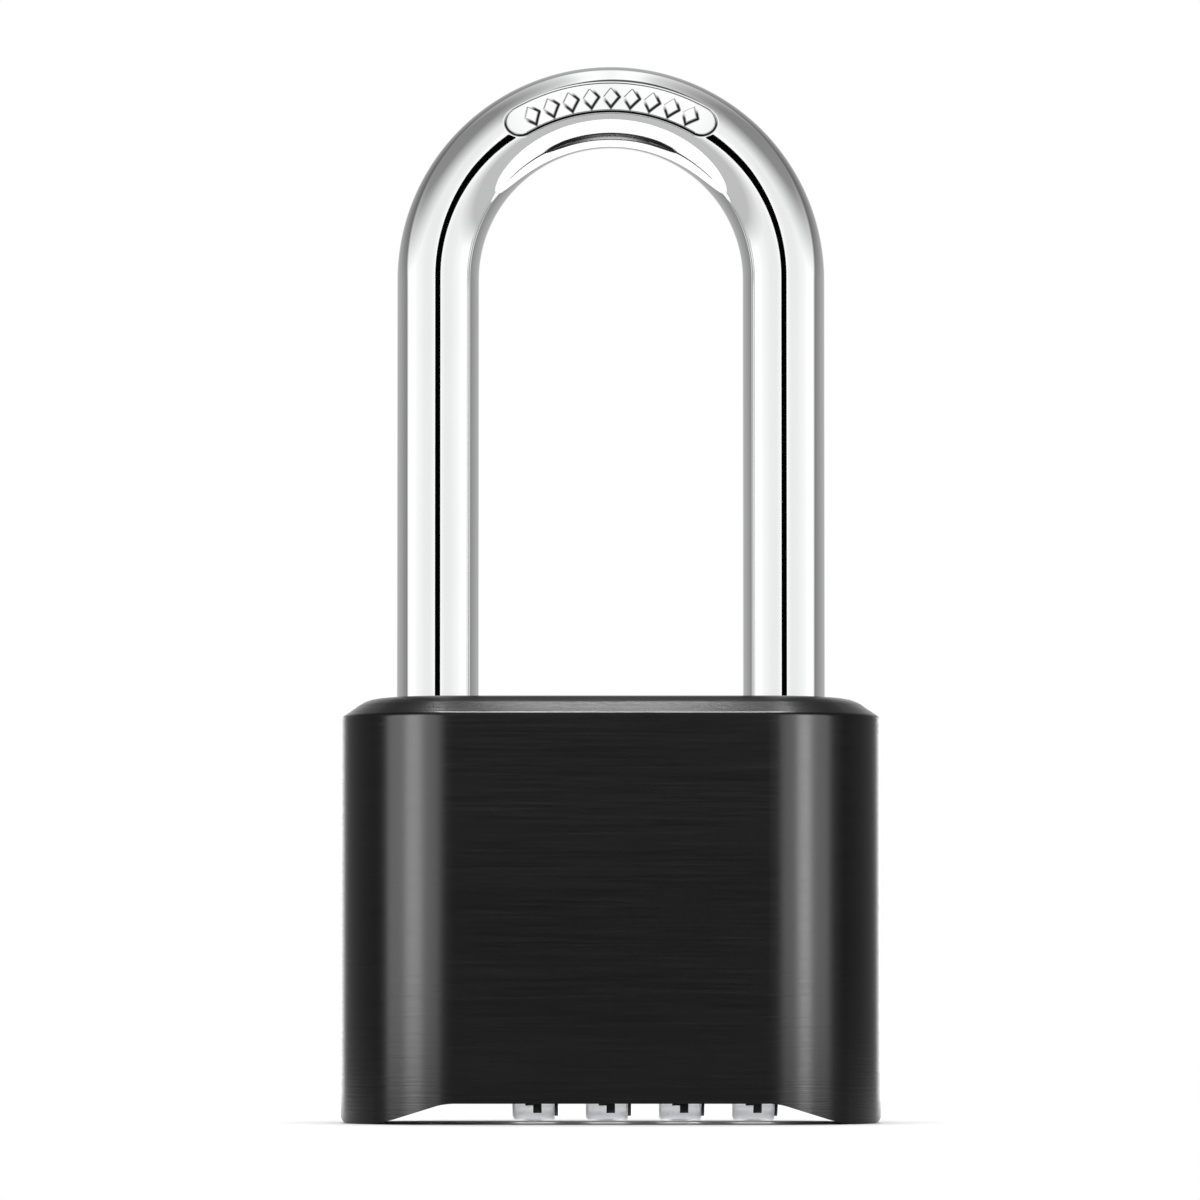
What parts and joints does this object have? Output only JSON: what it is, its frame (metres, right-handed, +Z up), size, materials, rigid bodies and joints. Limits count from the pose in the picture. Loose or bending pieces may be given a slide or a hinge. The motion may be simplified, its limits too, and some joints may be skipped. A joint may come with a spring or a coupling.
{
  "type": "combination padlock",
  "caption": "Long-shackle combination padlock: black metal body on two feet, figure dials turning in windows under it.",
  "frame": {"origin": "centre of the overall box, on the surface the two feet stand on", "axes": "+Z up along the shackle legs, +X from the heel leg to the toe leg, the front faces -Y"},
  "size_m": [0.052, 0.028, 0.1021],
  "materials": {
    "black_paint": "satin black over fine horizontal brushing",
    "shackle_chrome": "polished chrome plating",
    "dial_chrome": "satin chrome plating, black-filled figures",
    "black_steel": "black oxide",
    "brass": "turned",
    "steel": "zinc plated",
    "spring_steel": "plain",
    "cast_zinc": "as cast"
  },
  "bodies": {
    "case": {"lock_body": "black_paint", "bottom_cover": "black_paint", "cover_rivets": "black_paint", "dial_frame": "cast_zinc", "retaining_screw": "steel", "heel_pin": "steel", "bolt_guide": "brass", "detent_spring": "spring_steel", "detent_screws": "steel", "spindle_spring": "spring_steel"},
    "shackle": {"shackle": "shackle_chrome"},
    "spindle": {"spindle": "brass", "locking_bolt": "steel"},
    "dial_1": {"dial_1": "dial_chrome", "star_wheel_1": "black_steel", "code_sleeve_1": "brass"},
    "dial_2": {"dial_2": "dial_chrome", "star_wheel_2": "black_steel", "code_sleeve_2": "brass"},
    "dial_3": {"dial_3": "dial_chrome", "star_wheel_3": "black_steel", "code_sleeve_3": "brass"},
    "dial_4": {"dial_4": "dial_chrome", "star_wheel_4": "black_steel", "code_sleeve_4": "brass"}
  },
  "joints": [
    {"name": "shackle_lift", "type": "slide", "parent": "case", "child": "shackle", "axis": [0, 0, 1], "range_m": [0, 0.012]},
    {"name": "spindle_slide", "type": "slide", "parent": "case", "child": "spindle", "axis": [1, 0, 0], "range_m": [-0.002, 0], "deforming": ["spindle_spring"]},
    {"name": "dial_1_spin", "type": "hinge", "parent": "case", "child": "dial_1", "pos_m": [-0.00728, 0, 0.00824], "axis": [1, 0, 0], "continuous": true, "deforming": ["detent_spring"]},
    {"name": "dial_2_spin", "type": "hinge", "parent": "case", "child": "dial_2", "pos_m": [-0.00024, 0, 0.00824], "axis": [1, 0, 0], "continuous": true},
    {"name": "dial_3_spin", "type": "hinge", "parent": "case", "child": "dial_3", "pos_m": [0.00679, 0, 0.00824], "axis": [1, 0, 0], "continuous": true},
    {"name": "dial_4_spin", "type": "hinge", "parent": "case", "child": "dial_4", "pos_m": [0.01381, 0, 0.00824], "axis": [1, 0, 0], "continuous": true}
  ]
}
